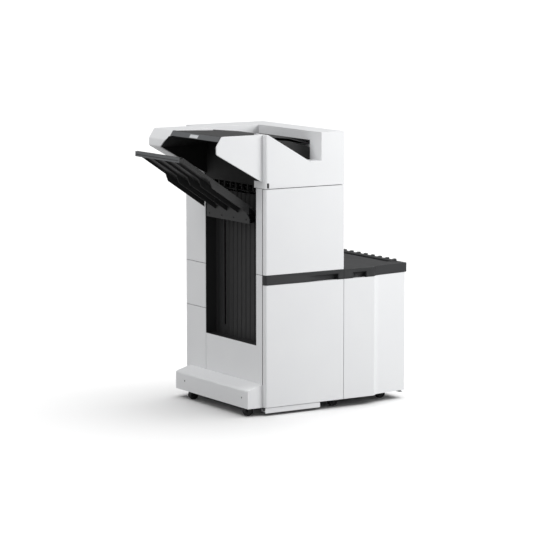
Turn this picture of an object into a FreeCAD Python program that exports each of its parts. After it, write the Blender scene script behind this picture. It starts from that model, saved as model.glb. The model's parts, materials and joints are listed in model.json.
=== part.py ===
import FreeCAD, Part
import os
from types import SimpleNamespace

import Sketcher

# Floor-standing paper finisher that docks to the left side of an office copier:
# a tall stacking tower with an upper tray and a lift-down stack tray, and a low
# docking cabinet on its right. X runs right, Y back and Z up. The sizes below are
# measured from the tower's front left corner on the floor; each piece is then
# placed so that the origin lies under the middle of the whole machine.

SIZES = {
    "tower_width": 408,
    "tower_depth": 669,
    "tower_height": 1222,
    "cabinet_width": 358,
    "top_overhang": 9,
    "top_block_height": 234,
    "band_top": 614,
    "band_height": 41.5,
    "cover_bottom": 36,
    "kick_bottom": 12,
    "kick_length": 286,
    "cover_wall": 2.5,
    "cover_seam": 2,
    "door_thickness": 20,
    "door_edge_radius": 11,
    "door_side_gap": 6,
    "recess_front": 74,
    "recess_depth": 57,
    "recess_bottom": 301,
    "exit_mouth_height": 40,
    "plinth_reach": 77,
    "plinth_front": 20,
    "plinth_setback": 33,
    "plinth_height": 115,
    "plinth_rise": 22,
    "front_block_depth": 90,
    "rear_block_depth": 157,
    "right_block_width": 120,
    "notch_left": 15,
    "notch_knee": 58,
    "notch_depth": 124,
    "wing_reach": 230,
    "wing_tip_height": 34,
    "wing_tip_slant": 27,
    "wing_tip_drop": 42,
    "wing_root_height": 205,
    "front_wing_thickness": 8,
    "rear_wing_thickness": 168,
    "rear_wing_setback": 69,
    "rear_wing_flare": 68,
    "wing_flare_drop": 75,
    "upper_tray_thickness": 4,
    "upper_tray_edge_drop": 8,
    "upper_tray_knee_drop": 25,
    "upper_tray_knee_run": 108,
    "upper_tray_end_height": 22,
    "exit_slot_drop": 55,
    "exit_slot_height": 15,
    "lining_sheet": 2,
    "lining_gap": 0.3,
    "tray_reach": 370,
    "tray_width": 380,
    "tray_side_gap": 23,
    "tray_slope_rise": 0.672,
    "tray_plate_thickness": 5,
    "tray_rib_height": 34,
    "tray_rib_count": 5,
    "tray_rib_reach": 218,
    "carriage_height": 58,
    "carriage_drop": 98,
    "lift_travel": 480,
    "lift_arm_thickness": 6,
    "slot_clearance": 3,
    "frame_sheet": 2,
    "frame_front": 58,
    "frame_rear_inset": 55,
    "base_height": 76,
    "base_sheet": 4,
    "stay_radius": 6,
    "running_fit": 0.1,
    "caster_wheel_radius": 22,
    "caster_wheel_width": 24,
    "caster_trail": 15,
    "caster_stem_radius": 6,
    "caster_axle_radius": 4,
    "roller_radius": 10,
    "shaft_radius": 4,
    "hinge_pin_radius": 3,
    "hinge_inset": 12,
    "scoop_start": 162,
    "scoop_step": 22,
    "scoop_depth": 46,
    "pocket_depth": 22,
    "dock_hole_radius": 3.3,
    "dock_hole_spacing": 120,
    "dock_hole_rise": 30,
}

AXES = {"XY": ("XY_Plane", 1), "XZ": ("XZ_Plane", -1), "YZ": ("YZ_Plane", 1)}


class Length:
    """A size that carries both its number and the sheet expression behind it."""

    def __init__(self, value, text=""):
        self.value = float(value)
        self.text = text or f"{self.value:.8g}"

    def __add__(self, other):
        other = as_length(other)
        return Length(self.value + other.value, f"({self.text} + {other.text})")

    __radd__ = __add__

    def __sub__(self, other):
        other = as_length(other)
        return Length(self.value - other.value, f"({self.text} - {other.text})")

    def __rsub__(self, other):
        return as_length(other) - self

    def __mul__(self, other):
        other = as_length(other)
        return Length(self.value * other.value, f"({self.text} * {other.text})")

    __rmul__ = __mul__

    def __truediv__(self, other):
        other = as_length(other)
        return Length(self.value / other.value, f"({self.text} / {other.text})")

    def __neg__(self):
        return 0 - self


def as_length(size):
    return size if isinstance(size, Length) else Length(size)


def fill_sheet(sizes):
    """Writes the driving sizes to the sheet and returns them as named lengths."""
    sheet = doc.addObject("Spreadsheet::Sheet", "Sizes")
    named = {}
    for row, (name, value) in enumerate(sizes.items(), 1):
        sheet.set(f"A{row}", name)
        sheet.set(f"B{row}", str(value))
        sheet.setAlias(f"B{row}", name)
        named[name] = Length(value, f"Sizes.{name}")
    doc.recompute()
    return SimpleNamespace(**named)


def bind(piece, prop, size):
    piece.setExpression(prop, as_length(size).text)


# ---------------------------------------------------------------- drawing tools

def place(piece, x=0, y=0, z=0):
    """Moves a piece from the tower's corner to the frame of the whole machine."""
    bind(piece, ".Placement.Base.x", x - middle_x)
    bind(piece, ".Placement.Base.y", y - middle_y)
    bind(piece, ".Placement.Base.z", z)


def new_body(label):
    body = doc.addObject("PartDesign::Body", label)
    body.Label = label
    place(body)
    parts.append(body)
    return body


def new_sketch(body, plane, height):
    role, sense = AXES[plane]
    support = [f for f in body.Origin.OriginFeatures if f.Role == role][0]
    sketch = body.newObject("Sketcher::SketchObject", body.Name + "_sketch")
    sketch.AttachmentSupport = [(support, "")]
    sketch.MapMode = "FlatFace"
    bind(sketch, ".AttachmentOffset.Base.z", as_length(height) * sense)
    return sketch


def pin_point(sketch, geometry, vertex, point):
    """Ties one point of a sketch to its two sizes, measured from the origin."""
    for kind, size in zip(("DistanceX", "DistanceY"), point):
        index = sketch.addConstraint(
            Sketcher.Constraint(kind, -1, 1, geometry, vertex, size.value))
        bind(sketch, f"Constraints[{index}]", size)


def draw_outline(sketch, corners):
    points = [(as_length(a), as_length(b)) for a, b in corners]
    count = len(points)
    for i, (a, b) in enumerate(points):
        after = points[(i + 1) % count]
        line = Part.LineSegment(FreeCAD.Vector(a.value, b.value, 0),
                                FreeCAD.Vector(after[0].value, after[1].value, 0))
        sketch.addGeometry(line, False)
    for i in range(count):
        sketch.addConstraint(Sketcher.Constraint("Coincident", i, 2, (i + 1) % count, 1))
    for i, point in enumerate(points):
        pin_point(sketch, i, 1, point)


def draw_circle(sketch, centre, radius):
    centre = (as_length(centre[0]), as_length(centre[1]))
    radius = as_length(radius)
    middle = FreeCAD.Vector(centre[0].value, centre[1].value, 0)
    circle = Part.Circle(middle, FreeCAD.Vector(0, 0, 1), radius.value)
    geometry = sketch.addGeometry(circle, False)
    pin_point(sketch, geometry, 3, centre)
    index = sketch.addConstraint(Sketcher.Constraint("Radius", geometry, radius.value))
    bind(sketch, f"Constraints[{index}]", radius)


def extrude(body, plane, sketch, start, end, cut):
    """Pads or pockets a sketch drawn at start so that it reaches end."""
    kind = "PartDesign::Pocket" if cut else "PartDesign::Pad"
    feature = body.newObject(kind, body.Name + "_step")
    feature.Profile = sketch
    forward = AXES[plane][1] > 0
    feature.Reversed = forward if cut else not forward
    bind(feature, "Length", as_length(end) - start)
    return feature


def add_outline(body, plane, corners, start, end, cut=False):
    sketch = new_sketch(body, plane, start)
    draw_outline(sketch, corners)
    return extrude(body, plane, sketch, start, end, cut)


def add_round(body, plane, centre, radius, start, end, cut=False):
    sketch = new_sketch(body, plane, start)
    draw_circle(sketch, centre, radius)
    return extrude(body, plane, sketch, start, end, cut)


def rectangle(low, high):
    return [(low[0], low[1]), (high[0], low[1]), (high[0], high[1]), (low[0], high[1])]


def add_box(body, x, y, z, cut=False):
    """A block between the pairs x, y and z of low and high sides."""
    return add_outline(body, "XY", rectangle((x[0], y[0]), (x[1], y[1])), z[0], z[1], cut)


def round_edges(body, axis, spots, radius):
    """Rounds the straight edges along an axis that stand on the given spots."""
    doc.recompute()
    base = body.Tip
    keep = [i for i in range(3) if i != "XYZ".index(axis)]
    names = []
    for number, edge in enumerate(base.Shape.Edges, 1):
        ends = [v.Point for v in edge.Vertexes]
        if len(ends) != 2:
            continue
        for spot in spots:
            flat = [as_length(size).value for size in spot]
            if all(abs(end[keep[k]] - flat[k]) < 0.01 for end in ends for k in (0, 1)):
                names.append(f"Edge{number}")
    fillet = body.newObject("PartDesign::Fillet", body.Name + "_round")
    fillet.Base = (base, names)
    fillet.Radius = as_length(radius).value
    bind(fillet, "Radius", radius)
    return fillet


def new_group(label, members):
    """One node that holds several separate solids."""
    group = doc.addObject("Part::Compound", label)
    group.Label = label
    group.Links = members
    place(group)
    parts.append(group)
    return group


def new_rod(name, axis, centre, radius, length):
    rod = doc.addObject("Part::Cylinder", name)
    bind(rod, "Radius", radius)
    bind(rod, "Height", length)
    turn = {"X": FreeCAD.Rotation(FreeCAD.Vector(0, 1, 0), 90),
            "Y": FreeCAD.Rotation(FreeCAD.Vector(1, 0, 0), -90),
            "Z": FreeCAD.Rotation()}[axis]
    rod.Placement = FreeCAD.Placement(FreeCAD.Vector(), turn)
    for letter, size in zip("xyz", centre):
        bind(rod, f".Placement.Base.{letter}", size)
    return rod


def new_block(name, low, high):
    block = doc.addObject("Part::Box", name)
    for letter, prop, a, b in zip("xyz", ("Length", "Width", "Height"), low, high):
        bind(block, prop, as_length(b) - a)
        bind(block, f".Placement.Base.{letter}", a)
    return block


# ---------------------------------------------------------------------- chassis

def base_plate():
    body = new_body("base_plate")
    left, right = 8 - d.plinth_reach, at.cabinet_right - 6
    corner = d.tower_width + d.scoop_start - 40
    front, scooped = at.cover_start + 4, at.cabinet_frame - 4
    back = at.plinth_back - d.cover_wall - 0.5
    add_outline(body, "XY", [
        (left, front), (corner, front), (corner, scooped), (right, scooped),
        (right, back), (left, back)], d.base_height, at.base_top)
    for x, y in at.caster_spots.values():
        add_round(body, "XY", (x, y), d.caster_stem_radius + d.running_fit,
                  d.base_height, at.base_top, cut=True)


def frame_plate(label, x, y_front, top):
    """A pressed steel side plate that stands on the base plate."""
    body = new_body(label)
    add_outline(body, "XZ", rectangle((x[0], at.base_top), (x[1], top)),
                y_front, y_front + d.frame_sheet)
    return body


def tower_frames():
    span = (d.cover_wall, d.tower_width - d.cover_wall)
    front = frame_plate("tower_front_frame", span, d.frame_front, at.top_seam)
    rear = frame_plate("tower_rear_frame", span, at.rear_frame, at.top_seam)
    for body, y in ((front, d.frame_front), (rear, at.rear_frame)):
        for spot in (at.exit_drive, at.exit_idler, at.transport, at.lift_axis):
            add_round(body, "XZ", spot, d.shaft_radius + d.running_fit, y,
                      y + d.frame_sheet, cut=True)


def cabinet_frames():
    span = (d.tower_width + 4, at.cabinet_right - d.cover_wall)
    frame_plate("cabinet_front_frame", span, at.cabinet_frame, at.band_bottom)
    frame_plate("cabinet_rear_frame", span, at.rear_frame, at.band_bottom)


def top_plate():
    """The shelf that closes the tower and carries the upper units."""
    body = new_body("top_plate")
    left = d.cover_wall
    inner = d.recess_depth + 8
    right = d.tower_width - d.cover_wall
    front = at.cover_start
    back = d.tower_depth - d.cover_wall
    add_outline(body, "XY", [
        (left, front), (right, front), (right, back), (left, back),
        (left, at.recess_rear + 16), (inner, at.recess_rear + 16),
        (inner, d.recess_front - 14), (left, d.recess_front - 14)],
        at.top_seam, at.top_seam + d.frame_sheet)
    add_box(body, (d.tower_width - 60, d.tower_width - 36), (110, at.recess_rear - 10),
            (at.top_seam, at.top_seam + d.frame_sheet), cut=True)


def cross_stays():
    tower, cabinet = d.frame_front + d.frame_sheet, at.cabinet_frame + d.frame_sheet
    right = d.tower_width - 50
    spots = [(110, tower, 140), (right, tower, 140), (right, tower, 520),
             (110, tower, d.recess_bottom - 30), (right - 40, tower, at.top_seam - 60),
             (at.cabinet_right - 70, cabinet, 140),
             (at.cabinet_right - 70, cabinet, at.band_bottom - 50)]
    rods = [new_rod(f"stay_{i}", "Y", spot, d.stay_radius, at.rear_frame - spot[1])
            for i, spot in enumerate(spots, 1)]
    new_group("cross_stays", rods)


# ----------------------------------------------------------------- outer covers

def left_covers():
    wall = (0, d.cover_wall)
    seam = d.cover_seam / 2
    upper = new_body("left_front_cover")
    add_box(upper, wall, (at.cover_start, d.recess_front), (d.band_top + seam, at.top_seam))
    lower = new_body("left_lower_cover")
    foot = at.plinth_top
    add_outline(lower, "YZ", [
        (at.cover_start, foot), (at.recess_rear - seam, foot),
        (at.recess_rear - seam, d.recess_bottom), (d.recess_front, d.recess_bottom),
        (d.recess_front, d.band_top - seam), (at.cover_start, d.band_top - seam)],
        0, d.cover_wall)
    back = d.tower_depth - d.cover_wall
    side = (at.recess_rear + seam, back)
    for label, low, high in (
            ("left_rear_upper_cover", d.band_top + seam, at.top_seam),
            ("left_rear_middle_cover", at.rear_split + seam, d.band_top - seam)):
        add_box(new_body(label), wall, side, (low, high))
    bottom = new_body("left_rear_lower_cover")
    step = at.plinth_back + d.cover_seam
    add_outline(bottom, "YZ", [
        (side[0], foot), (step, foot), (step, d.cover_bottom),
        (back, d.cover_bottom), (back, at.rear_split - seam), (side[0], at.rear_split - seam)],
        0, d.cover_wall)


def recess_liner():
    """The black tub behind the stack tray, with a slot for each lift arm."""
    body = new_body("recess_liner")
    w = d.cover_wall
    low, high = d.recess_front, at.recess_rear
    top = at.mouth_bottom
    add_box(body, (w, d.recess_depth + w), (low - w, high + w), (d.recess_bottom - w, top))
    add_box(body, (w, 2 * w), (low - 12, high + 12), (d.recess_bottom - 12, top))
    add_box(body, (w, d.recess_depth), (low, high), (d.recess_bottom, top), cut=True)
    half = d.lift_arm_thickness / 2 + d.slot_clearance
    for y in at.lift_arms:
        add_box(body, (d.recess_depth, d.recess_depth + w), (y - half, y + half),
                (at.carriage_bottom - d.lift_travel - 8, top - 30), cut=True)
    pitch = at.recess_width / 12
    for i in range(1, 12):
        y = low + pitch * i
        if all(abs(y.value - arm.value) > (half + 4).value for arm in at.lift_arms):
            add_box(body, (d.recess_depth - 2, d.recess_depth), (y - 1.5, y + 1.5),
                    (d.recess_bottom, top))


def rear_covers():
    y = (d.tower_depth - d.cover_wall, d.tower_depth)
    seam = d.cover_seam / 2
    tower = new_body("tower_rear_cover")
    add_box(tower, (0, d.tower_width), y, (d.cover_bottom, at.top_seam))
    cabinet = new_body("cabinet_rear_cover")
    add_box(cabinet, (d.tower_width + 2 * seam, at.cabinet_right), y,
            (d.cover_bottom, at.band_bottom))
    for body, x, z in ((tower, 120, at.top_seam - 130), (cabinet, d.tower_width + 100, 120)):
        for i in range(8):
            add_box(body, (x, x + 150), y, (z + 9 * i, z + 9 * i + 4), cut=True)


def right_covers():
    seam = d.cover_seam
    x = (d.tower_width - d.cover_wall, d.tower_width)
    y = (at.cover_start, d.tower_depth - d.cover_wall)
    add_box(new_body("tower_right_cover"), x, y, (d.band_top + seam, at.top_seam))
    side = new_body("cabinet_right_cover")
    x = (at.cabinet_right - d.cover_wall, at.cabinet_right)
    add_box(side, x, (at.scoop_back + 6, y[1]), (d.cover_bottom, at.band_bottom))
    cut_dock_holes(side, x)


def plinth():
    cover = new_body("plinth_cover")
    w = d.cover_wall
    reach = d.plinth_reach
    back = at.plinth_back
    top = at.plinth_top
    add_outline(cover, "XZ", [
        (-reach, d.cover_bottom), (0, d.cover_bottom), (0, top), (-reach, d.plinth_height)],
        d.plinth_front, back)
    add_outline(cover, "XZ", [
        (w - reach, d.cover_bottom), (0, d.cover_bottom), (0, top - w),
        (w - reach, d.plinth_height - w)], d.plinth_front + w, back - w, cut=True)
    round_edges(cover, "Y", [(-reach, d.plinth_height)], 9)
    head, proud = 4, 0.5
    height = d.plinth_height - 35
    spots = (d.plinth_front + 52, back - 77)
    screws = [new_rod(f"plinth_screw_{i}", "X", (-reach - proud, y, height), head, 6)
              for i, y in enumerate(spots, 1)]
    for y in spots:
        add_round(cover, "YZ", (y, height), head, -reach, w - reach, cut=True)
    new_group("plinth_screws", screws)


def kick_strip():
    """The white strip below the left door, folded back and up to the base plate."""
    body = new_body("kick_strip")
    top = d.cover_bottom - 1
    shelf = d.kick_bottom + 6
    back = at.cover_start + 8
    add_outline(body, "YZ", [
        (3, d.kick_bottom), (6, d.kick_bottom), (6, shelf), (back + 3, shelf),
        (back + 3, d.base_height), (back, d.base_height), (back, shelf + 3), (6, shelf + 3),
        (6, top), (3, top)], 3, d.kick_length)


# ------------------------------------------------------------------- top blocks

def front_top_cover():
    """The front top block with its sloping notch, hollow from below."""
    body = new_body("front_top_cover")
    w = d.cover_wall
    floor = at.block_floor
    top = d.tower_height
    left, knee, right = d.notch_left, at.notch_knee, at.bay_right
    bottom = top - d.notch_depth
    add_outline(body, "XZ", [
        (0, floor), (d.tower_width, floor), (d.tower_width, top), (right, top),
        (right, bottom), (knee, bottom), (left, top), (0, top)], 0, d.front_block_depth)
    round_edges(body, "Z", [(0, 0)], d.door_edge_radius)
    round_edges(body, "Z", [(d.tower_width, 0)], 3)
    add_outline(body, "XZ", [
        (w, floor), (d.tower_width - w, floor), (d.tower_width - w, top - w),
        (right + w, top - w), (right + w, bottom - w), (knee, bottom - w),
        (left, top - 1.3 * w), (w, top - 1.3 * w)],
        d.door_edge_radius, d.front_block_depth - w, cut=True)
    boss = at.hinge_spot
    add_box(body, (w, boss[0] + 8), (d.door_edge_radius - 5, boss[1] + 8),
            (floor, floor + 12))
    add_round(body, "XY", boss, d.hinge_pin_radius, floor, floor + 8, cut=True)


def rear_top_cover():
    body = new_body("rear_top_cover")
    w = d.cover_wall
    y = (at.rear_block, d.tower_depth)
    z = (at.block_floor, d.tower_height)
    add_box(body, (0, d.tower_width), y, z)
    round_edges(body, "Z", [(0, y[1]), (d.tower_width, y[1])], 3)
    add_box(body, (w, d.tower_width - w), (y[0] + w, y[1] - w - 2), (z[0], z[1] - w), cut=True)


def right_top_cover():
    """The block beside the upper tray, whose mouth lets the sheets out."""
    body = new_body("right_top_cover")
    w = d.cover_wall
    x = (at.bay_right, d.tower_width)
    y = (d.front_block_depth, at.rear_block)
    z = (at.block_floor, d.tower_height)
    add_box(body, x, y, z)
    add_box(body, (x[0] + w, x[1] - w), (y[0] + w, y[1] - w), (z[0], z[1] - w), cut=True)
    add_box(body, (x[0], x[0] + w), (y[0] + w, y[1] - w),
            (at.slot_bottom, at.slot_bottom + d.exit_slot_height), cut=True)


def wing_outline(inset):
    """The outline of both wings, from root to tip, drawn in by an inset."""
    tip_top = d.tower_height - d.wing_tip_drop
    tip_low = tip_top - d.wing_tip_height
    tip = inset - d.wing_reach
    return [(0, at.wing_root + 1.2 * inset), (0, d.tower_height - inset),
            (at.wing_shoulder, d.tower_height - inset), (tip, tip_top),
            (tip, tip_low + 1.2 * inset)]


def round_tips(body):
    outline = wing_outline(as_length(0))
    for spot in outline[2:]:
        round_edges(body, "Y", [spot], 12)


def front_wing():
    """The thin front wing: a skin with a folded edge, open towards the tray."""
    body = new_body("front_wing")
    w = d.cover_wall
    y = (d.door_thickness, at.front_wing_back)
    add_outline(body, "XZ", wing_outline(as_length(0)), y[0], y[1])
    round_tips(body)
    add_outline(body, "XZ", wing_outline(w), y[0] + w, y[1], cut=True)


def rear_wing():
    """The thick rear wing, whose inner side flares back below the tray."""
    body = new_body("rear_wing")
    w = d.cover_wall
    y = (at.rear_wing_inner, d.tower_depth - d.rear_wing_setback)
    foot = y[0] + d.rear_wing_flare
    add_outline(body, "XZ", wing_outline(as_length(0)), y[0], y[1])
    round_tips(body)
    low = at.wing_root - 10
    add_outline(body, "YZ", [
        (y[0], at.flare_top), (foot, at.flare_bottom), (foot, low), (y[0], low)],
        -d.wing_reach - 1, 0, cut=True)
    add_outline(body, "XZ", wing_outline(w), foot + w, y[1] - w, cut=True)
    shelf = at.flare_top + 2 * w
    add_box(body, (at.wing_shoulder, 0), (y[0] + w, foot + w), (shelf, d.tower_height - w),
            cut=True)


def upper_tray():
    """The black top tray: steep where the sheets come out, then nearly flat."""
    body = new_body("upper_tray")
    top = d.tower_height
    drop = d.upper_tray_thickness
    mouth = (at.bay_right - 1, at.slot_bottom)
    knee = (mouth[0] - d.upper_tray_knee_run, top - d.upper_tray_knee_drop)
    root = (0, top - d.upper_tray_edge_drop)
    tip = (at.wing_shoulder - 2, top - 1)
    y = (at.front_wing_back + 1, at.rear_wing_inner - 1)
    add_outline(body, "XZ", [
        tip, root, (root[0], root[1] - drop), (tip[0], tip[1] - drop)], y[0], y[1])
    add_outline(body, "XZ", [
        root, knee, mouth, (mouth[0], mouth[1] - drop), (knee[0], knee[1] - drop),
        (root[0], root[1] - drop)], d.front_block_depth + 1, at.rear_block - 1)
    rib_count, rib_sheet, rib_height = 5, 3, 12
    pitch = (y[1] - y[0] - 60) / (rib_count - 1)
    for i in range(rib_count):
        low = y[0] + 30 + pitch * i
        add_box(body, (tip[0], -4), (low, low + rib_sheet),
                (root[1] - rib_height, root[1] - 1))
    lean = d.upper_tray_end_height * d.wing_tip_slant / d.wing_tip_drop
    low = top - d.upper_tray_end_height
    add_outline(body, "XZ", [
        (tip[0], top), (tip[0] - lean, low), (tip[0] - lean + 10, low), (tip[0] + 10, top)],
        y[0], y[1])
    round_edges(body, "Y", [(tip[0], top)], 4)


def exit_unit_cover():
    """The black housing between the two trays, with its row of sheet fingers."""
    body = new_body("exit_unit_cover")
    low = at.block_floor
    y = (d.front_block_depth + 1, at.rear_block - 1)
    left = 6
    right = at.bay_right - 1
    knee = right - d.upper_tray_knee_run
    gap = 15
    roof_left = d.tower_height - d.upper_tray_edge_drop - gap
    roof_knee = d.tower_height - d.upper_tray_knee_drop - gap
    roof_right = at.slot_bottom - gap
    wall = 4
    add_outline(body, "XZ", [
        (left, low + 8), (left + 60, low), (right, low), (right, roof_right),
        (knee, roof_knee), (left, roof_left)], y[0], y[1])
    add_outline(body, "XZ", [
        (left + wall, low + 11), (left + 60, low + wall), (right - wall, low + wall),
        (right - wall, roof_right - wall), (knee, roof_knee - wall),
        (left + wall, roof_left - wall)], y[0] + wall, y[1], cut=True)
    count = 9
    pitch = (at.recess_rear - 29 - y[0]) / (count - 1)
    for i in range(count):
        middle = y[0] + 20 + pitch * i
        add_outline(body, "XZ", [
            (left + 2, low + 10), (left + 2, low - 16), (left + 10, low - 22),
            (left + 14, low + 8)], middle - 5, middle + 5)
    line_wings(body, left + wall / 2, roof_left)


def line_wings(body, right, top):
    """The black lining that covers the inner sides of both wings."""
    sheet = d.lining_sheet
    gap = d.lining_gap
    tip = 4 - d.wing_reach
    front = at.front_wing_back + gap
    slope = (d.wing_root_height - d.wing_tip_drop - d.wing_tip_height) / d.wing_reach
    foot = at.wing_root + 4
    tip_foot = foot - tip * slope
    add_outline(body, "XZ", [
        (-gap, foot), (-gap, top), (tip + 12, top), (tip, tip_foot + 24), (tip, tip_foot)],
        front, front + sheet)
    add_box(body, (-gap - sheet, -gap), (front, d.front_block_depth + 1 + sheet), (foot, top))
    add_box(body, (-gap - sheet, right), (d.front_block_depth + 1, d.front_block_depth + 1 + sheet),
            (foot, top))
    back = at.rear_wing_inner - gap
    flare = back + d.rear_wing_flare
    add_outline(body, "YZ", [
        (flare, foot), (flare, at.flare_bottom - gap), (back, at.flare_top - gap),
        (back, at.flare_top - gap - 1.5 * sheet),
        (flare - sheet, at.flare_bottom - gap - sheet), (flare - sheet, foot)], tip, right)
    add_outline(body, "XZ", [
        (tip - 1, tip_foot), (0, foot), (0, foot - 10), (tip - 1, foot - 10)],
        back - 1, flare, cut=True)


# ------------------------------------------------------------- doors and bands

def door_shell(label, x, z, hinge_x, hinge_holes):
    """A flat door, hollow from behind, with a rounded left edge."""
    body = new_body(label)
    w = d.cover_wall
    add_box(body, x, (0, d.door_thickness), z)
    round_edges(body, "Z", [(x[0], 0)], d.door_edge_radius)
    round_edges(body, "Z", [(x[1], 0)], 2)
    add_box(body, (x[0] + w, x[1] - w), (d.door_edge_radius, d.door_thickness),
            (z[0] + w, z[1] - w), cut=True)
    add_box(body, (x[0] + d.door_edge_radius, x[1] - w), (w, d.door_edge_radius),
            (z[0] + w, z[1] - w), cut=True)
    for z_low, z_high in hinge_holes:
        add_box(body, (hinge_x - 8, hinge_x + 8), (w, d.door_thickness), (z_low, z_high))
        add_round(body, "XY", (hinge_x, d.hinge_inset), d.hinge_pin_radius + d.running_fit,
                  z_low, z_high, cut=True)


def hinge_ends(z):
    """The two blocks that hold the pins at the bottom and top of a door."""
    return ((z[0], z[0] + 10), (z[1] - 10, z[1]))


def tower_doors():
    x = (0, d.tower_width - d.cover_seam / 2)
    seam = d.cover_seam
    upper = (d.band_top + seam, at.top_seam - seam / 2)
    lower = (d.cover_bottom + seam / 2, at.band_bottom - seam / 2)
    door_shell("upper_door", x, upper, d.hinge_inset, hinge_ends(upper))
    door_shell("lower_door", x, lower, d.hinge_inset, hinge_ends(lower))


def scoop_line():
    """The two corners where the cabinet's front steps back into its scoop."""
    start = d.tower_width + d.scoop_start
    return (start, 0), (start + d.scoop_step, d.scoop_step)


def right_door():
    """The cabinet's door: flat, then scooped back towards its right side."""
    body = new_body("right_door")
    w = d.cover_wall
    left = d.tower_width + d.cover_seam / 2
    right = at.cabinet_right
    end = d.scoop_depth
    back = at.scoop_back
    z = (d.cover_bottom + d.cover_seam / 2, at.band_bottom - d.cover_seam / 2)
    corner, step = scoop_line()
    add_outline(body, "XY", [
        (left, 0), corner, step, (right, end), (right, back), (step[0], back - 6),
        (corner[0] - 6, d.door_thickness), (left, d.door_thickness)], z[0], z[1])
    round_edges(body, "Z", [step], 70)
    inner = [
        (left + w, w), (corner[0] - 2, w), (step[0] - 2, step[1] + 8), (right - w, end + 4),
        (right - w, back), (step[0], back - 6), (corner[0] - 6, d.door_thickness),
        (left + w, d.door_thickness)]
    add_outline(body, "XY", inner, z[0] + w, z[1] - w, cut=True)
    spot = at.right_hinge
    for z_low, z_high in hinge_ends(z):
        add_box(body, (spot[0] - 7, spot[0] + 7), (end + 2, back), (z_low, z_high))
        add_round(body, "XY", spot, d.hinge_pin_radius + d.running_fit, z_low, z_high, cut=True)


def grip_band():
    """The dark band between the two tower doors, with a finger pocket."""
    body = new_body("grip_band")
    inner, behind = d.cover_wall + 0.5, at.cover_start - 1
    add_outline(body, "XY", [
        (0, 0), (d.tower_width, 0), (d.tower_width, d.frame_front), (inner, d.frame_front),
        (inner, behind), (0, behind)], at.band_bottom, d.band_top)
    round_edges(body, "Z", [(0, 0)], d.door_edge_radius)
    right = d.tower_width - 29
    finger_pocket(body, right - 160, right)
    for z in ((at.band_bottom, at.band_bottom + 8), (d.band_top - 8, d.band_top)):
        add_round(body, "XY", at.hinge_spot, d.hinge_pin_radius, z[0], z[1], cut=True)


def finger_pocket(body, left, right):
    """A pocket in a band's face that deepens towards its right end."""
    add_outline(body, "XY", [
        (left, 0), (right, 0), (right, d.pocket_depth), (right - 45, d.pocket_depth)],
        at.band_bottom, d.band_top - 16, cut=True)


def cabinet_top_cover():
    body = new_body("cabinet_top_cover")
    left = d.tower_width + d.cover_seam / 2
    right = at.cabinet_right + d.top_overhang
    corner, step = scoop_line()
    add_outline(body, "XY", [
        (left, 0), corner, step, (right, d.scoop_depth), (right, d.tower_depth),
        (left, d.tower_depth)], at.band_bottom, d.band_top)
    round_edges(body, "Z", [step], 70)
    add_box(body, (left + 6, at.cabinet_right), (d.frame_front + 30, d.tower_depth - 6),
            (at.band_bottom, d.band_top - 3), cut=True)
    pocket = d.tower_width + 46
    finger_pocket(body, pocket, pocket + 74)
    add_round(body, "XY", at.right_hinge, d.hinge_pin_radius,
              at.band_bottom, at.band_bottom + 8, cut=True)
    add_box(body, (left, left + 30), (d.frame_front, d.tower_depth - 12),
            (d.band_top, d.band_top + 5))
    add_box(body, (right - 56, right - 41), at.entry_span, (d.band_top - 3, d.band_top),
            cut=True)


def entry_guide():
    """The comb along the cabinet's right edge that takes in the sheets."""
    body = new_body("entry_guide")
    right = at.cabinet_right + d.top_overhang - 3
    y = at.entry_span
    add_box(body, (right - 34, right), y, (d.band_top, d.band_top + 3))
    count = 10
    pitch = (y[1] - y[0] - 16) / (count - 1)
    for i in range(count):
        low = y[0] + pitch * i
        add_outline(body, "XZ", [
            (right - 26, d.band_top + 3), (right, d.band_top + 3),
            (right, d.band_top + 9), (right - 8, d.band_top + 9)], low, low + 16)


def hinge_pins():
    """The pins that the doors turn on: one in each end block of each door."""
    seam = d.cover_seam / 2
    x, y = at.hinge_spot
    rx, ry = at.right_hinge
    lower_foot = d.cover_bottom - 6
    pins = [
        new_rod("pin_upper_top", "Z", (x, y, at.top_seam - seam - 8), d.hinge_pin_radius,
                d.frame_sheet + seam + 16),
        new_rod("pin_upper_bottom", "Z", (x, y, d.band_top - 8), d.hinge_pin_radius, 16),
        new_rod("pin_lower_top", "Z", (x, y, at.band_bottom - 8), d.hinge_pin_radius, 16),
        new_rod("pin_lower_bottom", "Z", (x, y, lower_foot), d.hinge_pin_radius, 14),
        new_rod("pin_right_top", "Z", (rx, ry, at.band_bottom - 8), d.hinge_pin_radius, 16),
        new_rod("pin_right_bottom", "Z", (rx, ry, lower_foot), d.hinge_pin_radius, 14)]
    new_group("door_hinge_pins", pins)


def door_feet():
    """The two folded brackets under the doors that hold the lower pins."""
    top = d.cover_bottom - 6
    feet = []
    for name, (x, y), back in (("left", at.hinge_spot, at.cover_start + 4),
                               ("right", at.right_hinge, at.scoop_back + 30)):
        shelf = new_block(f"{name}_foot_shelf", (x - 8, y - 5, top - 3), (x + 8, back + 3, top))
        riser = new_block(f"{name}_foot_riser", (x - 8, back, top), (x + 8, back + 3, d.base_height))
        foot = doc.addObject("Part::Fuse", f"{name}_foot")
        foot.Base = shelf
        foot.Tool = riser
        feet.append(foot)
    new_group("door_foot_brackets", feet)


# ------------------------------------------------------------------- stack tray

def tray_height(x):
    """Height of the stack tray's upper face at a distance along it."""
    return at.tray_foot - x * d.tray_slope_rise


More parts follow.
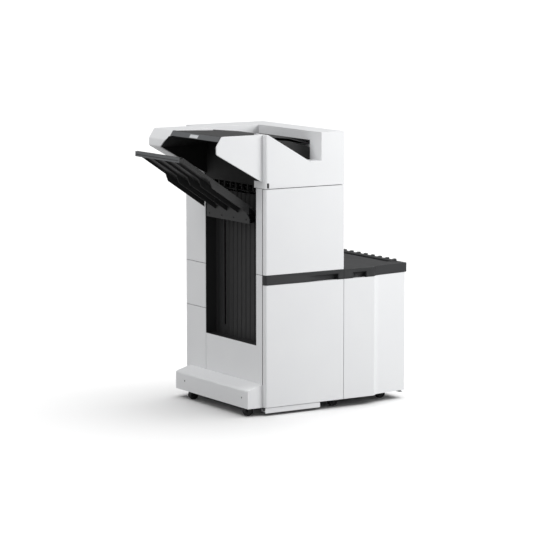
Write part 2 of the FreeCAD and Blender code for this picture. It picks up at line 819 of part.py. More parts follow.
def stack_tray():
    """The sloping stack tray: a plate on ribs with a turned-down end lip."""
    body = new_body("stack_tray")
    y = (at.tray_front, at.tray_front + d.tray_width)
    tip = 18 - d.tray_reach
    foot = d.recess_depth - 3
    thick = d.tray_plate_thickness * 1.2
    inner = -at.carriage_front - 0.3
    add_outline(body, "XZ", [
        (tip, tray_height(tip)), (foot, tray_height(foot)), (foot, tray_height(foot) - thick),
        (tip, tray_height(tip) - thick)], y[0], y[1])
    add_outline(body, "XZ", [
        (-d.tray_reach, tray_height(tip) - 14), (18 - d.tray_reach, tray_height(tip) - thick),
        (30 - d.tray_reach, tray_height(tip + 12) - 1), (tip, tray_height(tip)),
        (6 - d.tray_reach, tray_height(tip) + 2)], y[0] + 8, y[1] - 8)
    step = -d.tray_rib_reach
    rib = d.tray_rib_height * 1.2
    pitch = (y[1] - y[0] - 4) / (d.tray_rib_count - 1)
    for i in range(int(d.tray_rib_count.value)):
        low = y[0] + pitch * i
        add_outline(body, "XZ", [
            (tip + 6, tray_height(tip + 6) - 1), (inner, tray_height(inner) - 1),
            (inner, tray_height(inner) - rib), (step + 12, tray_height(step + 12) - rib),
            (step, tray_height(step) - 17), (tip + 6, tray_height(tip + 6) - 17)],
            low, low + 4)


def stack_tray_carriage():
    """The lift carriage: a face plate and two arms that reach through the liner."""
    body = new_body("stack_tray_carriage")
    low = at.carriage_bottom
    high = low + d.carriage_height
    y = (at.tray_front + 2, at.tray_front + d.tray_width - 20)
    x = (-at.carriage_front, 5 - at.carriage_front)
    corner = 34
    add_outline(body, "YZ", [
        (y[0], low), (y[1], low), (y[1], high), (y[0] + corner, high), (y[0], high - corner)],
        x[0], x[1])
    for spot in ((y[0] + corner, high), (y[0], high - corner)):
        round_edges(body, "X", [spot], 20)
    half = d.lift_arm_thickness / 2
    for arm in at.lift_arms:
        add_box(body, (x[1], at.belt_left - 0.3), (arm - half, arm + half), (low, low + 16))
    shelf = low + 16
    add_box(body, (x[1], d.recess_depth - 6), (y[0] + 20, y[1] - 20), (low, low + 3))
    add_outline(body, "XZ", [
        (x[1], shelf), (x[1] + 14, shelf), (x[1], high - 4)], y[0] + 60, y[1] - 60)


def lift_drive():
    """Two toothed belts that raise the carriage, and the shaft that drives them."""
    radius = at.pulley_radius
    x, z = at.lift_axis
    top = at.mouth_bottom - 60
    half = 5
    belts = []
    for i, y in enumerate(at.lift_arms, 1):
        for side, low in (("near", x - radius - 2), ("far", x + radius + 0.3)):
            belts.append(new_block(f"belt_{i}_{side}", (low, y - half, z),
                                   (low + 1.7, y + half, top)))
        belts.append(new_block(f"belt_{i}_top", (x - radius - 2, y - half, top),
                               (x + radius + 2, y + half, top + 1.7)))
    new_group("lift_belts", belts)
    shaft = new_body("lift_shaft")
    add_round(shaft, "XZ", (x, z), d.shaft_radius, d.frame_front, at.rear_frame + 2)
    for y in at.lift_arms:
        add_round(shaft, "XZ", (x, z), radius, y - half, y + half)


# -------------------------------------------------------- rollers and stapler

def roller(label, spot, ends, radius, rubber):
    """A steel shaft along the machine with rubber rollers spaced along it."""
    body = new_body(label)
    add_round(body, "XZ", spot, d.shaft_radius, ends[0], ends[1])
    count = 4
    low, high = rubber
    pitch = (high - low - 30) / (count - 1)
    for i in range(count):
        start = low + pitch * i
        add_round(body, "XZ", spot, radius, start, start + 30)
    return body


def rollers():
    ends = (d.frame_front - 6, at.rear_frame + 8)
    rubber = (120, at.recess_rear - 30)
    roller("lower_exit_roller", at.exit_drive, ends, d.roller_radius, rubber)
    roller("lower_exit_idler", at.exit_idler, ends, d.roller_radius, rubber)
    inner = (d.front_block_depth + d.cover_wall + 0.3, at.rear_block - d.cover_wall - 0.3)
    roller("upper_exit_roller", at.upper_exit, inner, d.roller_radius, rubber)
    knob = roller("transport_roller", at.transport, (d.frame_front - 22, at.rear_frame + 8),
                  d.roller_radius * 1.2, rubber)
    add_round(knob, "XZ", at.transport, 16, d.frame_front - 22, d.frame_front - 6)


def compile_tray():
    """The inner tray where a set of sheets is squared up before stapling."""
    body = new_body("compile_tray")
    left, right = d.recess_depth + 32, d.tower_width - 130
    top = at.mouth_bottom - 6
    fall = (right - left) * 0.55
    add_outline(body, "XZ", [
        (left, top), (right, top - fall), (right, top - fall - 2), (left, top - 2)],
        d.frame_front + d.frame_sheet, at.rear_frame)


def stapler():
    """The stapler head on the two rods that it travels along."""
    x, z = at.stapler_spot
    rods = [new_rod(f"stapler_rod_{i}", "Y", (x + dx, d.frame_front + d.frame_sheet, z),
                    5, at.rear_frame - d.frame_front - d.frame_sheet)
            for i, dx in enumerate((-22, 22), 1)]
    new_group("stapler_rods", rods)
    body = new_body("stapler")
    y = (at.stapler_middle - 32, at.stapler_middle + 32)
    add_box(body, (x - 34, x + 34), y, (z - 12, z + 44))
    add_box(body, (x - 34, x + 2), y, (z + 16, z + 26), cut=True)
    for dx in (-22, 22):
        add_round(body, "XZ", (x + dx, z), 5 + d.running_fit, y[0], y[1], cut=True)


def control_box():
    body = new_body("control_box")
    y = at.rear_frame + d.frame_sheet
    x, z = (d.tower_width - 278, d.tower_width - 88), (at.top_seam - 290, at.top_seam - 110)
    add_box(body, x, (y, y + 34), z)
    round_edges(body, "Y", [(a, b) for a in x for b in z], 4)


def docking_plate():
    """The steel plate on the cabinet's right side that hooks to the copier."""
    body = new_body("docking_plate")
    x = (at.cabinet_right, at.cabinet_right + 3)
    y, z = at.dock
    half_y, half_z = d.dock_hole_spacing / 2 + 15, d.dock_hole_rise / 2 + 12
    add_box(body, x, (y - half_y, y + half_y), (z - half_z, z + half_z))
    cut_dock_holes(body, x)


def cut_dock_holes(body, x):
    """The four holes of the docking plate, through a wall between the pair x."""
    y, z = at.dock
    for side in (-1, 1):
        for level in (-1, 1):
            spot = (y + d.dock_hole_spacing / 2 * side, z + d.dock_hole_rise / 2 * level)
            add_round(body, "YZ", spot, d.dock_hole_radius, x[0], x[1], cut=True)


# ----------------------------------------------------------------------- casters

def caster(name, x, y):
    """A swivel fork with its stem in the base plate, and its trailing wheel."""
    radius = d.caster_wheel_radius
    half = d.caster_wheel_width / 2
    axle_x = x - d.caster_trail
    fork = new_body(f"{name}_fork")
    bridge = 2 * radius + 2.5
    add_round(fork, "XY", (x, y), d.caster_stem_radius, bridge, at.base_top)
    add_round(fork, "XY", (x, y), 18, bridge, d.base_height - 0.3)
    for side in (-1, 1):
        near = half + 0.5
        low = y + near if side > 0 else y - near - 2.5
        add_outline(fork, "XZ", [
            (axle_x - 7, radius - 6), (axle_x + 7, radius - 6), (x + 12, bridge),
            (x + 12, bridge + 6), (axle_x - 7, bridge + 6), (axle_x - 7, radius)],
            low, low + 2.5)
    add_box(fork, (axle_x - 7, x + 12), (y - half - 3, y + half + 3), (bridge, bridge + 6))
    add_round(fork, "XZ", (axle_x, radius), d.caster_axle_radius, y - half - 3, y + half + 3)
    wheel = new_body(f"{name}_wheel")
    add_round(wheel, "XZ", (axle_x, radius), radius, y - half, y + half)
    add_round(wheel, "XZ", (axle_x, radius), d.caster_axle_radius + d.running_fit,
              y - half, y + half, cut=True)
    add_outline(wheel, "XZ", [
        (axle_x - radius - 1, -1), (axle_x + radius + 1, -1),
        (axle_x + radius + 1, 2 * radius + 1), (axle_x - radius - 1, 2 * radius + 1)],
        y - 1.5, y + 1.5, cut=True)
    add_round(wheel, "XZ", (axle_x, radius), radius - 7, y - 1.5, y + 1.5)
    add_round(wheel, "XZ", (axle_x, radius), d.caster_axle_radius + d.running_fit,
              y - 1.5, y + 1.5, cut=True)


def casters():
    for name, (x, y) in at.caster_spots.items():
        caster(f"caster_{name}", x, y)


# -------------------------------------------------------------- derived places

def work_out_places():
    """The heights and lines that several pieces share."""
    at.top_seam = d.tower_height - d.top_block_height
    at.block_floor = at.top_seam + d.frame_sheet
    at.band_bottom = d.band_top - d.band_height
    at.rear_split = at.band_bottom - 160
    at.base_top = d.base_height + d.base_sheet
    at.plinth_top = d.plinth_height + d.plinth_rise
    at.cabinet_right = d.tower_width + d.cabinet_width
    at.cover_start = d.door_thickness + d.door_side_gap
    at.plinth_back = d.tower_depth - d.plinth_setback
    at.scoop_back = d.scoop_depth + d.door_thickness
    at.cabinet_frame = at.scoop_back + 12
    at.entry_span = (d.frame_front + 60, d.tower_depth - 20)
    at.recess_width = d.tray_width + 2 * d.tray_side_gap
    at.recess_rear = d.recess_front + at.recess_width
    at.rear_frame = d.tower_depth - d.frame_rear_inset - d.frame_sheet
    at.mouth_bottom = at.top_seam - d.exit_mouth_height
    at.bay_right = d.tower_width - d.right_block_width
    at.notch_knee = at.bay_right - d.notch_knee
    at.rear_block = d.tower_depth - d.rear_block_depth
    at.rear_wing_inner = d.tower_depth - d.rear_wing_setback - d.rear_wing_thickness
    at.front_wing_back = d.door_thickness + d.front_wing_thickness
    at.wing_root = d.tower_height - d.wing_root_height
    at.wing_shoulder = d.wing_tip_slant - d.wing_reach
    at.flare_top = d.tower_height - d.upper_tray_end_height - 2
    at.flare_bottom = d.tower_height - d.wing_flare_drop
    at.slot_bottom = d.tower_height - d.exit_slot_drop
    at.hinge_spot = (d.hinge_inset, d.hinge_inset)
    at.right_hinge = (at.cabinet_right - d.hinge_inset, d.scoop_depth + d.hinge_inset)
    at.carriage_bottom = at.top_seam - d.carriage_drop - d.carriage_height
    at.carriage_front = as_length(20)
    at.tray_foot = at.carriage_bottom + d.carriage_height + 9
    at.tray_front = d.recess_front + d.tray_side_gap
    middle = d.recess_front + at.recess_width / 2
    at.lift_arms = (middle - 140, middle + 140)
    at.pulley_radius = as_length(12)
    at.lift_axis = (d.recess_depth + 32, d.recess_bottom + 20)
    at.belt_left = at.lift_axis[0] - at.pulley_radius - 2
    at.exit_drive = (d.recess_depth + 14, at.mouth_bottom + 8)
    at.exit_idler = (at.exit_drive[0], at.exit_drive[1] + 2 * d.roller_radius + 0.3)
    at.upper_exit = (at.bay_right + 20, at.slot_bottom - 8)
    at.transport = (d.tower_width - 60, at.top_seam - 150)
    at.stapler_spot = (d.tower_width - 150, at.mouth_bottom - 190)
    at.stapler_middle = (d.frame_front + at.rear_frame) / 2
    at.dock = (d.tower_depth / 2, as_length(330))
    sweep = d.caster_trail + d.caster_wheel_radius + 2
    left, inner = sweep - d.plinth_reach, d.tower_width - 6
    near, far = d.door_thickness + sweep + 1, d.tower_depth - 60
    at.caster_spots = {
        "front_left": (left, near), "rear_left": (left, d.tower_depth - 146),
        "front_middle": (inner, near), "rear_middle": (inner, far),
        "front_right": (at.cabinet_right - 75, at.scoop_back + sweep + 3),
        "rear_right": (at.cabinet_right - 87, far - 28)}


def build():
    base_plate()
    tower_frames()
    cabinet_frames()
    top_plate()
    cross_stays()
    left_covers()
    recess_liner()
    rear_covers()
    right_covers()
    plinth()
    kick_strip()
    front_top_cover()
    rear_top_cover()
    right_top_cover()
    front_wing()
    rear_wing()
    upper_tray()
    exit_unit_cover()
    tower_doors()
    right_door()
    grip_band()
    cabinet_top_cover()
    entry_guide()
    hinge_pins()
    door_feet()
    stack_tray()
    stack_tray_carriage()
    lift_drive()
    rollers()
    compile_tray()
    stapler()
    control_box()
    docking_plate()
    casters()


def check_and_export():
    """Stops on any failed feature or bad shape, then writes one file per piece."""
    doc.recompute()
    for thing in doc.Objects:
        if "Invalid" in thing.State or "Error" in thing.State:
            raise RuntimeError(f"{thing.Name} failed to build")
    for piece in parts:
        if piece.Shape.isNull() or not piece.Shape.isValid() or not piece.Shape.Solids:
            raise RuntimeError(f"{piece.Label} has no sound shape")
    os.makedirs("parts", exist_ok=True)
    for piece in parts:
        piece.Shape.exportStep(f"parts/{piece.Label}.step")


doc = FreeCAD.newDocument("finisher")
parts = []
d = fill_sheet(SIZES)
at = SimpleNamespace()
work_out_places()
middle_x = (at.cabinet_right + d.top_overhang - d.tray_reach) / 2
middle_y = d.tower_depth / 2
build()
check_and_export()
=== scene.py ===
import json
import math

import bmesh
import bpy
from mathutils import Matrix, Vector


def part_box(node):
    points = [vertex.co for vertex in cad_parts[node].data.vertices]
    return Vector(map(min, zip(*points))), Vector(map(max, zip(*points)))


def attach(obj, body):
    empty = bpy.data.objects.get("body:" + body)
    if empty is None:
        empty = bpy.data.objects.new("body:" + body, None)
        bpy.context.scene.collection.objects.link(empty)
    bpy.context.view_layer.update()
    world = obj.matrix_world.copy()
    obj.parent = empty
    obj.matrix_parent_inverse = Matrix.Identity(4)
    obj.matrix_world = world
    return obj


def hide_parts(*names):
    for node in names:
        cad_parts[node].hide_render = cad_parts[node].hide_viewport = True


bl_info = {
    "name": "Paper Finisher",
    "version": (1, 0, 0),
    "blender": (4, 5, 0),
    "location": "3D View > Sidebar > Finisher",
    "description": "Dresses the packed frame of an office paper finisher",
    "category": "Object",
}

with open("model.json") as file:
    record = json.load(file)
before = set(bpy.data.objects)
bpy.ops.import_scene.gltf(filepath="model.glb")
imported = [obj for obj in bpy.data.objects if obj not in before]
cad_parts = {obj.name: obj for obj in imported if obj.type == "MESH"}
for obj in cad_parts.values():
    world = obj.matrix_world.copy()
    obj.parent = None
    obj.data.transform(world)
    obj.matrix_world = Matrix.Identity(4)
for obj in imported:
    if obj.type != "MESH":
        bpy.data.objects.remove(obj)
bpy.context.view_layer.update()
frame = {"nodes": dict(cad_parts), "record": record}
MM = 0.001
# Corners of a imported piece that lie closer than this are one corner.
WELD = 0.02 * MM
# Neighbouring faces that bend less than this are one flat face.
FLAT = math.radians(0.8)
# Edges that turn more than this are shaded crisp.
CRISP = math.radians(32)
BODY_OF = {node: body for body, nodes in frame["record"]["behaviour"]["bodies"].items()
           for node in nodes}
SLOT_OF = {part["node"]: part["material_slot"] for part in frame["record"]["subparts"]}
# Every finish by its name, filled by main().
MATERIALS = {}


# -------------------------------------------------------------------- materials

def linear(code):
    """An sRGB hex colour as the linear RGBA that Blender works in."""
    channels = [int(code[i:i + 2], 16) / 255 for i in (1, 3, 5)]
    return [c / 12.92 if c <= 0.04045 else ((c + 0.055) / 1.055) ** 2.4
            for c in channels] + [1.0]


def add_node(tree, kind, inputs=None, feeds=None, **settings):
    """Adds one shader node with its settings and links. Inputs holds values or other nodes'
    sockets, and feeds is the socket that the node's first output goes to."""
    node = tree.nodes.new(kind)
    for name, value in settings.items():
        setattr(node, name, value)
    for name, value in (inputs or {}).items():
        if isinstance(value, bpy.types.NodeSocket):
            tree.links.new(value, node.inputs[name])
        else:
            node.inputs[name].default_value = value
    if feeds:
        tree.links.new(node.outputs[0], feeds)
    return node


def new_material(name, roughness, metallic=0.0, ior=None):
    """A new material, its tree, its shader and the place its patterns are laid out from."""
    material = bpy.data.materials.new(name)
    material.use_nodes = True
    tree = material.node_tree
    shader = tree.nodes["Principled BSDF"]
    shader.inputs["Roughness"].default_value = roughness
    shader.inputs["Metallic"].default_value = metallic
    if ior:
        shader.inputs["IOR"].default_value = ior
    place = add_node(tree, "ShaderNodeTexCoord").outputs["Object"]
    return material, tree, shader, place


def moulded_plastic(name, low, high, roughness):
    """ABS or nylon moulded in a spark-eroded tool: a fine even grain spreads the gloss, and
    the colour drifts very slightly over a hand's width. The real grain of 0.1 mm is drawn
    at 1.6 mm so that it shows."""
    material, tree, shader, place = new_material(name, roughness, ior=1.53)
    drift = add_node(tree, "ShaderNodeTexNoise", {
        "Vector": place, "Scale": 1 / (180 * MM), "Detail": 1.0}).outputs["Fac"]
    patches = add_node(tree, "ShaderNodeTexNoise", {
        "Vector": place, "Scale": 1 / (35 * MM), "Detail": 2.0}).outputs["Fac"]
    grain = add_node(tree, "ShaderNodeTexNoise", {
        "Vector": place, "Scale": 1 / (1.6 * MM), "Detail": 3.0}).outputs["Fac"]
    add_node(tree, "ShaderNodeMixRGB", {
        "Fac": drift, "Color1": linear(low), "Color2": linear(high)},
        shader.inputs["Base Color"])
    add_node(tree, "ShaderNodeMapRange", {
        "Value": patches, "To Min": roughness - 0.05, "To Max": roughness + 0.06},
        shader.inputs["Roughness"])
    add_node(tree, "ShaderNodeBump", {
        "Strength": 0.25, "Distance": 0.12 * MM, "Height": grain}, shader.inputs["Normal"])
    return material


def powder_coat(name, low, high):
    """Powder-coated steel: the cured powder flows into a faint orange peel of 2 mm."""
    material, tree, shader, place = new_material(name, 0.42, ior=1.5)
    drift = add_node(tree, "ShaderNodeTexNoise", {
        "Vector": place, "Scale": 1 / (60 * MM), "Detail": 1.0}).outputs["Fac"]
    peel = add_node(tree, "ShaderNodeTexNoise", {
        "Vector": place, "Scale": 1 / (2.2 * MM), "Detail": 1.0}).outputs["Fac"]
    add_node(tree, "ShaderNodeMixRGB", {
        "Fac": drift, "Color1": linear(low), "Color2": linear(high)},
        shader.inputs["Base Color"])
    add_node(tree, "ShaderNodeBump", {
        "Strength": 0.3, "Distance": 0.15 * MM, "Height": peel}, shader.inputs["Normal"])
    return material


def zinc_sheet(name, low, high):
    """Galvanised sheet: zinc crystals 9 mm across catch the light by turns."""
    material, tree, shader, place = new_material(name, 0.4, metallic=1.0)
    crystals = add_node(tree, "ShaderNodeTexVoronoi", {
        "Vector": place, "Scale": 1 / (9 * MM)}).outputs["Color"]
    add_node(tree, "ShaderNodeMixRGB", {
        "Fac": crystals, "Color1": linear(low), "Color2": linear(high)},
        shader.inputs["Base Color"])
    add_node(tree, "ShaderNodeMapRange", {
        "Value": crystals, "To Min": 0.38, "To Max": 0.46}, shader.inputs["Roughness"])
    return material


def ground_steel(name, low, high):
    """Ground bar: fine rings left by the wheel, 0.5 mm apart, stretch the highlight."""
    material, tree, shader, place = new_material(name, 0.22, metallic=1.0)
    stretched = add_node(tree, "ShaderNodeMapping", {
        "Vector": place, "Scale": (0.2, 12, 0.2)}).outputs["Vector"]
    rings = add_node(tree, "ShaderNodeTexNoise", {
        "Vector": stretched, "Scale": 1 / (6 * MM), "Detail": 2.0}).outputs["Fac"]
    add_node(tree, "ShaderNodeMixRGB", {
        "Fac": rings, "Color1": linear(low), "Color2": linear(high)},
        shader.inputs["Base Color"])
    add_node(tree, "ShaderNodeBump", {
        "Strength": 0.3, "Distance": 0.05 * MM, "Height": rings}, shader.inputs["Normal"])
    return material


def moulded_rubber(name, low, high):
    """Moulded rubber: matt, with a dusty bloom in patches a finger wide. The tool's fine
    grain is drawn at 1.2 mm so that it shows."""
    material, tree, shader, place = new_material(name, 0.7, ior=1.52)
    bloom = add_node(tree, "ShaderNodeTexNoise", {
        "Vector": place, "Scale": 1 / (14 * MM), "Detail": 3.0}).outputs["Fac"]
    grain = add_node(tree, "ShaderNodeTexNoise", {
        "Vector": place, "Scale": 1 / (1.2 * MM), "Detail": 2.0}).outputs["Fac"]
    add_node(tree, "ShaderNodeMixRGB", {
        "Fac": bloom, "Color1": linear(low), "Color2": linear(high)},
        shader.inputs["Base Color"])
    add_node(tree, "ShaderNodeBump", {
        "Strength": 0.4, "Distance": 0.2 * MM, "Height": grain}, shader.inputs["Normal"])
    return material


def toothed_rubber(name, low, high):
    """Belt rubber with teeth 5 mm apart across its run."""
    material, tree, shader, place = new_material(name, 0.65, ior=1.52)
    # The texture's wave turns through 20 radians in one unit of its scale.
    teeth = add_node(tree, "ShaderNodeTexWave", {
        "Vector": place, "Scale": math.tau / 20 / (5 * MM)}, bands_direction="Z").outputs["Fac"]
    add_node(tree, "ShaderNodeMixRGB", {
        "Fac": teeth, "Color1": linear(low), "Color2": linear(high)},
        shader.inputs["Base Color"])
    add_node(tree, "ShaderNodeBump", {
        "Strength": 0.8, "Distance": 1.0 * MM, "Height": teeth}, shader.inputs["Normal"])
    return material


def coated_label(name, low, high):
    """Coated label stock: smooth and slightly glossy, with faint paper cloud."""
    material, tree, shader, place = new_material(name, 0.3, ior=1.45)
    cloud = add_node(tree, "ShaderNodeTexNoise", {
        "Vector": place, "Scale": 1 / (8 * MM), "Detail": 2.0}).outputs["Fac"]
    add_node(tree, "ShaderNodeMixRGB", {
        "Fac": cloud, "Color1": linear(low), "Color2": linear(high)},
        shader.inputs["Base Color"])
    return material


def make_materials(colours):
    """Every finish by name: one for each slot of the record, then three that a few pieces wear
    in place of their slot's own."""
    return {
        "white_cover": moulded_plastic(
            "white ABS, moulded", colours.white_shade, colours.white, 0.42),
        "black_plastic": moulded_plastic("black ABS, moulded", "#131314", colours.black, 0.55),
        "dark_plastic": moulded_plastic("dark grey ABS, moulded", "#1C1D1F", colours.dark, 0.5),
        "carriage_grey": powder_coat("dark grey powder-coated steel", "#1C1D1E", "#232425"),
        "frame_steel": zinc_sheet("galvanised sheet steel", "#A0A3A6", "#ADB0B3"),
        "bright_steel": ground_steel("ground bar steel", "#A9ACAF", "#CDD0D2"),
        "screw_steel": powder_coat("grey powder-coated screw steel", "#333435", "#424345"),
        "roller_rubber": moulded_rubber("roller rubber, moulded", "#1B1B1C", "#29292A"),
        "belt_rubber": toothed_rubber("belt rubber, toothed", "#121213", "#242526"),
        "caster_black": moulded_plastic("black nylon, moulded", "#0C0C0D", "#161617", 0.5),
        "caster_tyre": moulded_rubber("caster tread rubber, moulded", "#161617", "#242425"),
        "label": coated_label("coated label stock", "#BFC2C4", "#D2D4D6"),
        # This grey is painted highlight for the trays' black end lips where they catch the
        # light.
        "painted_highlight_grey": moulded_plastic("grey painted highlight on black ABS", "#505254", "#5A5C5E", 0.5),
        # This black is painted shade: the trays' black ABS made darker where it lies deep in the
        # cavity.
        "shade_darkened_black": moulded_plastic("black ABS darkened by painted cavity shade", "#060606", "#0B0B0C", 0.7),
    }


# ------------------------------------------------------------------ piece tools

def finish_piece(name, bm, finish, node_body, replaced=()):
    """Turns built geometry into a piece that rides on a body and wears a finish. Replaced
    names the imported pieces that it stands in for."""
    mesh = bpy.data.meshes.new(name)
    for face in bm.faces:
        face.smooth = True
    bm.to_mesh(mesh)
    bm.free()
    mesh.set_sharp_from_angle(angle=CRISP)
    mesh.materials.append(MATERIALS[finish])
    piece = bpy.data.objects.new(name, mesh)
    bpy.context.scene.collection.objects.link(piece)
    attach(piece, node_body)
    if replaced:
        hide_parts(*replaced)
    return piece


def round_over(piece, radius):
    """Rounds every crisp edge of a piece, as the tool that moulds it does."""
    bevel = piece.modifiers.new("rounded edges", "BEVEL")
    bevel.width = radius
    bevel.segments = 2
    bevel.limit_method = "ANGLE"
    bevel.angle_limit = math.radians(35)
    bevel.harden_normals = True
    return piece


def node_geometry(node):
    """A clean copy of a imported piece's geometry, with its flat faces whole."""
    bm = bmesh.new()
    bm.from_mesh(frame["nodes"][node].data)
    bmesh.ops.remove_doubles(bm, verts=bm.verts, dist=WELD)
    bmesh.ops.dissolve_limit(bm, angle_limit=FLAT, verts=bm.verts, edges=bm.edges)
    return bm


def soften(node, radius, pocket=None, finish=None):
    """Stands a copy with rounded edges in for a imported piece. A pocket is the two corners of
    the block that is cut out of it, and a finish takes the place of its slot's own."""
    slot = SLOT_OF[node]
    piece = finish_piece(node + "_moulding", node_geometry(node), finish or slot,
                         BODY_OF[node], [node])
    if pocket:
        cut_pocket(piece, *pocket)
    return round_over(piece, radius)


def cut_pocket(piece, low, high):
    """Cuts a square pocket out of a piece."""
    bm = bmesh.new()
    add_block(bm, low, high)
    mesh = bpy.data.meshes.new("pocket")
    bm.to_mesh(mesh)
    bm.free()
    cutter = bpy.data.objects.new("pocket", mesh)
    bpy.context.scene.collection.objects.link(cutter)
    cut = piece.modifiers.new("pocket", "BOOLEAN")
    cut.object = cutter
    depsgraph = bpy.context.evaluated_depsgraph_get()
    piece.data = bpy.data.meshes.new_from_object(piece.evaluated_get(depsgraph))
    piece.data.set_sharp_from_angle(angle=CRISP)
    piece.modifiers.remove(cut)
    bpy.data.objects.remove(cutter)


def dress(*nodes, finish=None):
    """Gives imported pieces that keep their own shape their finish."""
    for node in nodes:
        mesh = frame["nodes"][node].data
        mesh.materials.clear()
        mesh.materials.append(MATERIALS[finish or SLOT_OF[node]])


def add_block(bm, low, high):
    """Adds a closed block between two corners."""
    low, high = Vector(low), Vector(high)
    size = high - low
    matrix = Matrix.Translation((low + high) / 2) @ Matrix.Diagonal((*size, 1))
    bmesh.ops.create_cube(bm, size=1, matrix=matrix)


def spin(bm, profile, centre, axis):
    """Adds a closed profile of (along, radius) points turned about an axis."""
    along = Vector(axis)
    across = along.orthogonal().normalized()
    points = [bm.verts.new(Vector(centre) + along * a + across * r) for a, r in profile]
    edges = [bm.edges.new((points[i], points[(i + 1) % len(points)]))
             for i in range(len(points))]
    bmesh.ops.spin(bm, geom=points + edges, cent=centre, axis=along,
                   angle=math.tau, steps=40, use_merge=True)
    bmesh.ops.remove_doubles(bm, verts=bm.verts, dist=WELD)
    bmesh.ops.recalc_face_normals(bm, faces=bm.faces)


def screw_head(bm, centre, axis, radius, height):
    """Adds a pan-head screw with a cross recess, its flat side at the centre."""
    out = Vector(axis)
    side = out.orthogonal().normalized()
    up = out.cross(side)
    centre = Vector(centre)

    def ring(count, reach, lift, shape=None):
        """A loop of edges at a height: a circle, or else the points of a shape."""
        verts = []
        for i in range(count):
            turn = math.tau * (i + 0.5) / count
            x, y = shape[i] if shape else (math.cos(turn) * reach, math.sin(turn) * reach)
            verts.append(bm.verts.new(centre + side * x + up * y + out * lift))
        edges = [bm.edges.new((verts[i], verts[(i + 1) % count])) for i in range(count)]
        return verts, edges

    arm, half = radius * 0.55, radius * 0.15
    cross = [(arm, -half), (arm, half), (half, half), (half, arm), (-half, arm), (-half, half),
             (-arm, half), (-arm, -half), (-half, -half), (-half, -arm), (half, -arm),
             (half, -half)]
    # The foot and the top of the rim, the crown, then the lips and the floor of the cross.
    rings = [ring(24, radius, 0), ring(24, radius, height * 0.45),
             ring(24, radius * 0.8, height * 0.95), ring(len(cross), 0, height, cross),
             ring(len(cross), 0, height * 0.35, cross)]
    for a, b in zip(rings, rings[1:]):
        bmesh.ops.bridge_loops(bm, edges=a[1] + b[1])
    bm.faces.new(rings[0][0])
    bm.faces.new(rings[-1][0])
    bmesh.ops.recalc_face_normals(bm, faces=bm.faces)


def islands(node):
    """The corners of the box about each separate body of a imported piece."""
    bm = node_geometry(node)
    waiting = set(bm.verts)
    boxes = []
    for seed in bm.verts:
        if seed not in waiting:
            continue
        waiting.remove(seed)
        frontier = [seed]
        found = []
        while frontier:
            vert = frontier.pop()
            found.append(vert.co.copy())
            for edge in vert.link_edges:
                other = edge.other_vert(vert)
                if other in waiting:
                    waiting.remove(other)
                    frontier.append(other)
        boxes.append((Vector(map(min, zip(*found))), Vector(map(max, zip(*found)))))
    bm.free()
    return boxes


def paint_by_reach(piece, centre, limit, inside, outside):
    """Gives the faces within a limit of an axis that runs front to back one finish, and
    those beyond it another."""
    mesh = piece.data
    mesh.materials.clear()
    for finish in (inside, outside):
        mesh.materials.append(MATERIALS[finish])
    for face in mesh.polygons:
        corners = [mesh.vertices[v].co - centre for v in face.vertices]
        reach = max(math.hypot(corner.x, corner.z) for corner in corners)
        face.material_index = 1 if reach > limit else 0


# ---------------------------------------------------------------- property groups

class FINISHER_PG_stage(bpy.types.PropertyGroup):
    place: bpy.props.FloatVectorProperty(
        name="Camera", description="Where the camera stands", size=3, subtype="XYZ",
        unit="LENGTH", default=(-6.1110, -9.7441, 2.1493))
    turn: bpy.props.FloatProperty(
        name="Turn", description="How far the camera turns right of straight back",
        subtype="ANGLE", default=math.radians(32.342))
    tilt: bpy.props.FloatProperty(
        name="Tilt", description="How far the camera looks down", subtype="ANGLE",
        default=math.radians(7.8395))
    lens: bpy.props.FloatProperty(
        name="Lens", description="Focal length in millimetres", default=170.65,
        unit="CAMERA")
    ambient: bpy.props.FloatProperty(
        name="Ambient", description="Brightness of the studio all round", default=0.36)
    key: bpy.props.FloatProperty(
        name="Key", description="Power of the softbox at the front right", default=222.0,
        unit="POWER")
    fill: bpy.props.FloatProperty(
        name="Fill", description="Power of the softbox at the upper left", default=31.0,
        unit="POWER")
    overhead: bpy.props.FloatProperty(
        name="Overhead", description="Strength of the broad silk above the set", default=1.1)
    wash: bpy.props.FloatProperty(
        name="Wash", description="Strength of the light that whitens the floor", default=2.6)


